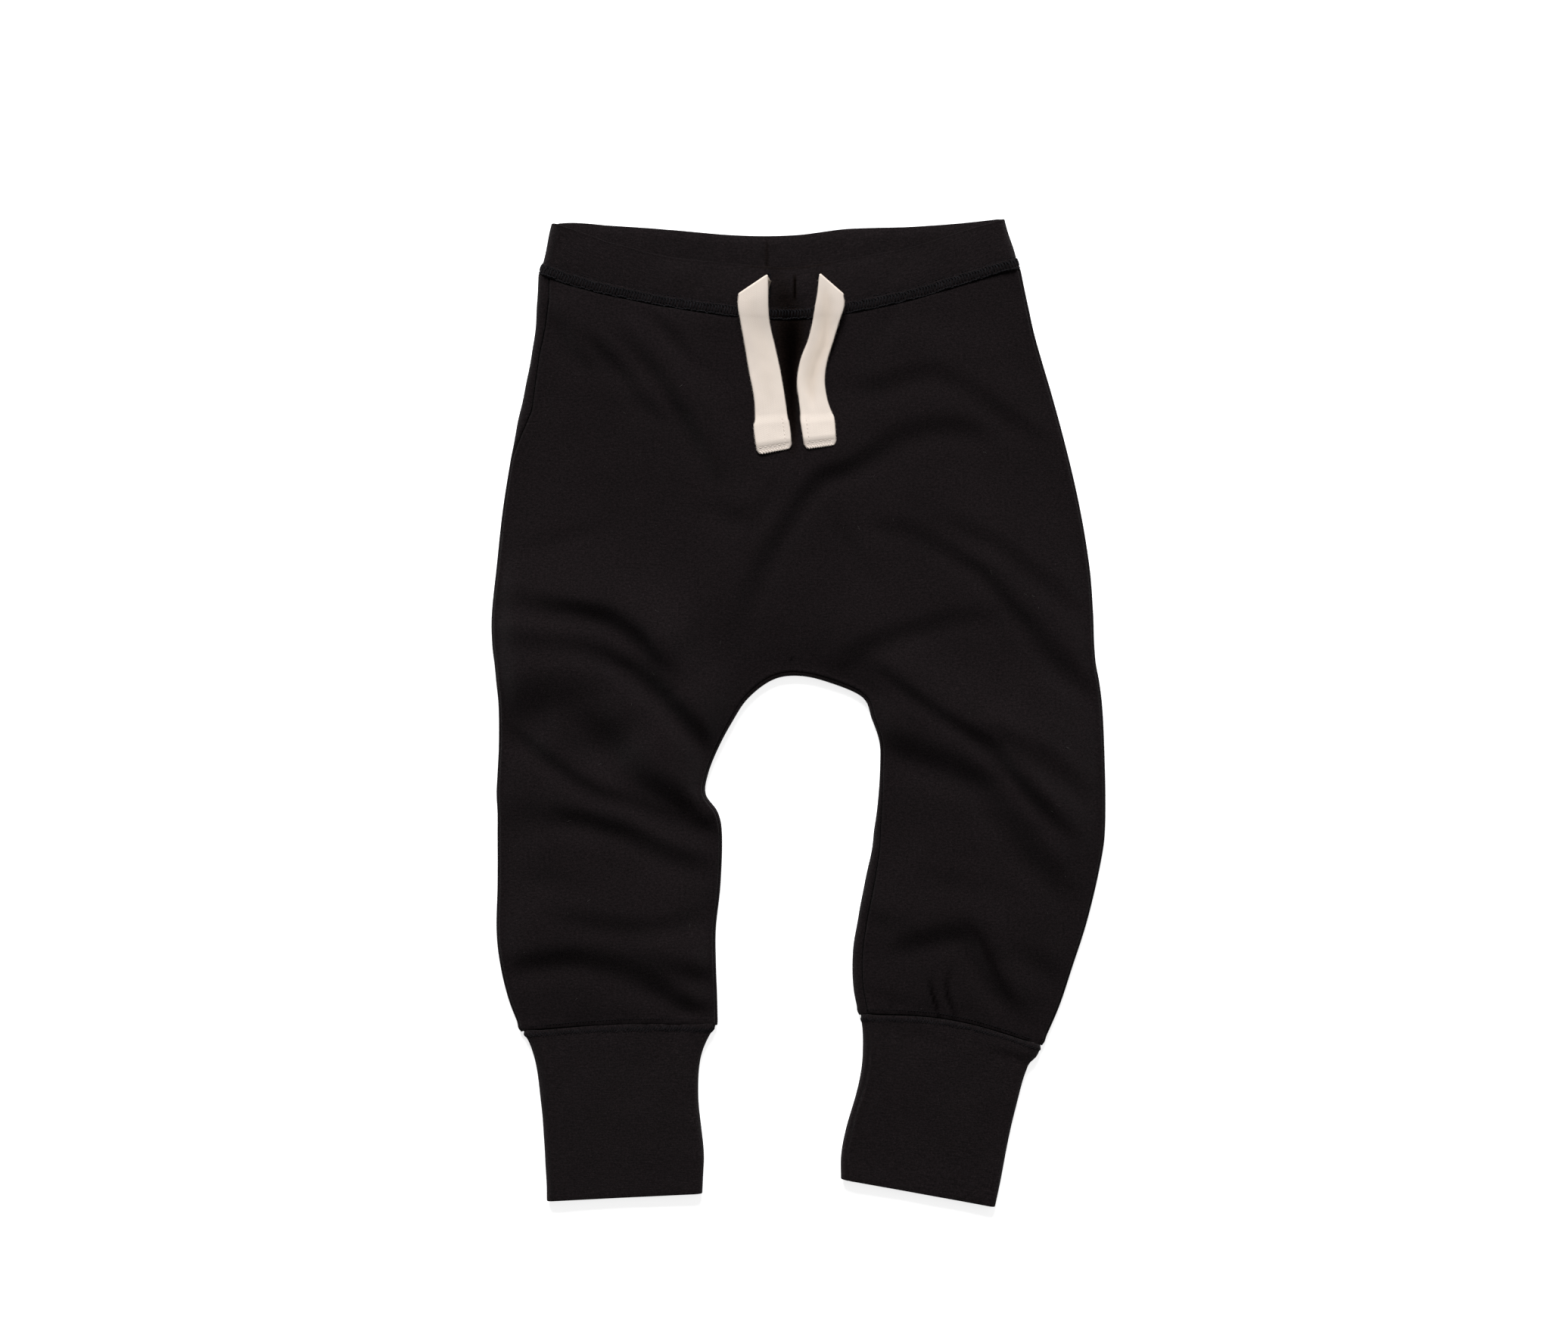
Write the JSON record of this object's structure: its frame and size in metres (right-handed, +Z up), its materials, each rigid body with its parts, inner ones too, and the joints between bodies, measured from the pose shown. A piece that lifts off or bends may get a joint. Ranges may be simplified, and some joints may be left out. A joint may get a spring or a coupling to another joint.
{
  "type": "sweatpants",
  "caption": "Baby's cotton-knit sweatpants laid flat, with a folded waistband, a flat drawcord with stitched ends, and long folded cuffs.",
  "frame": {"origin": "on the surface that the garment lies on, at the centre of its plan", "axes": "+Y from the hems to the waist, +X to the viewer's right as seen from above, +Z up from the surface, with the front of the garment on top"},
  "size_m": [0.2592, 0.4176, 0.0132],
  "materials": {
    "knit": "matt black cotton sweat knit with a fine, slightly heathered face",
    "band_knit": "matt black cotton knit, folded double",
    "tape": "unbleached cotton tape in a herringbone weave"
  },
  "bodies": {
    "root": {"front_panel": "knit", "back_panel": "knit", "waistband": "band_knit", "cuff_left": "band_knit", "cuff_right": "band_knit", "drawcord_left": "tape", "drawcord_right": "tape"}
  },
  "joints": []
}
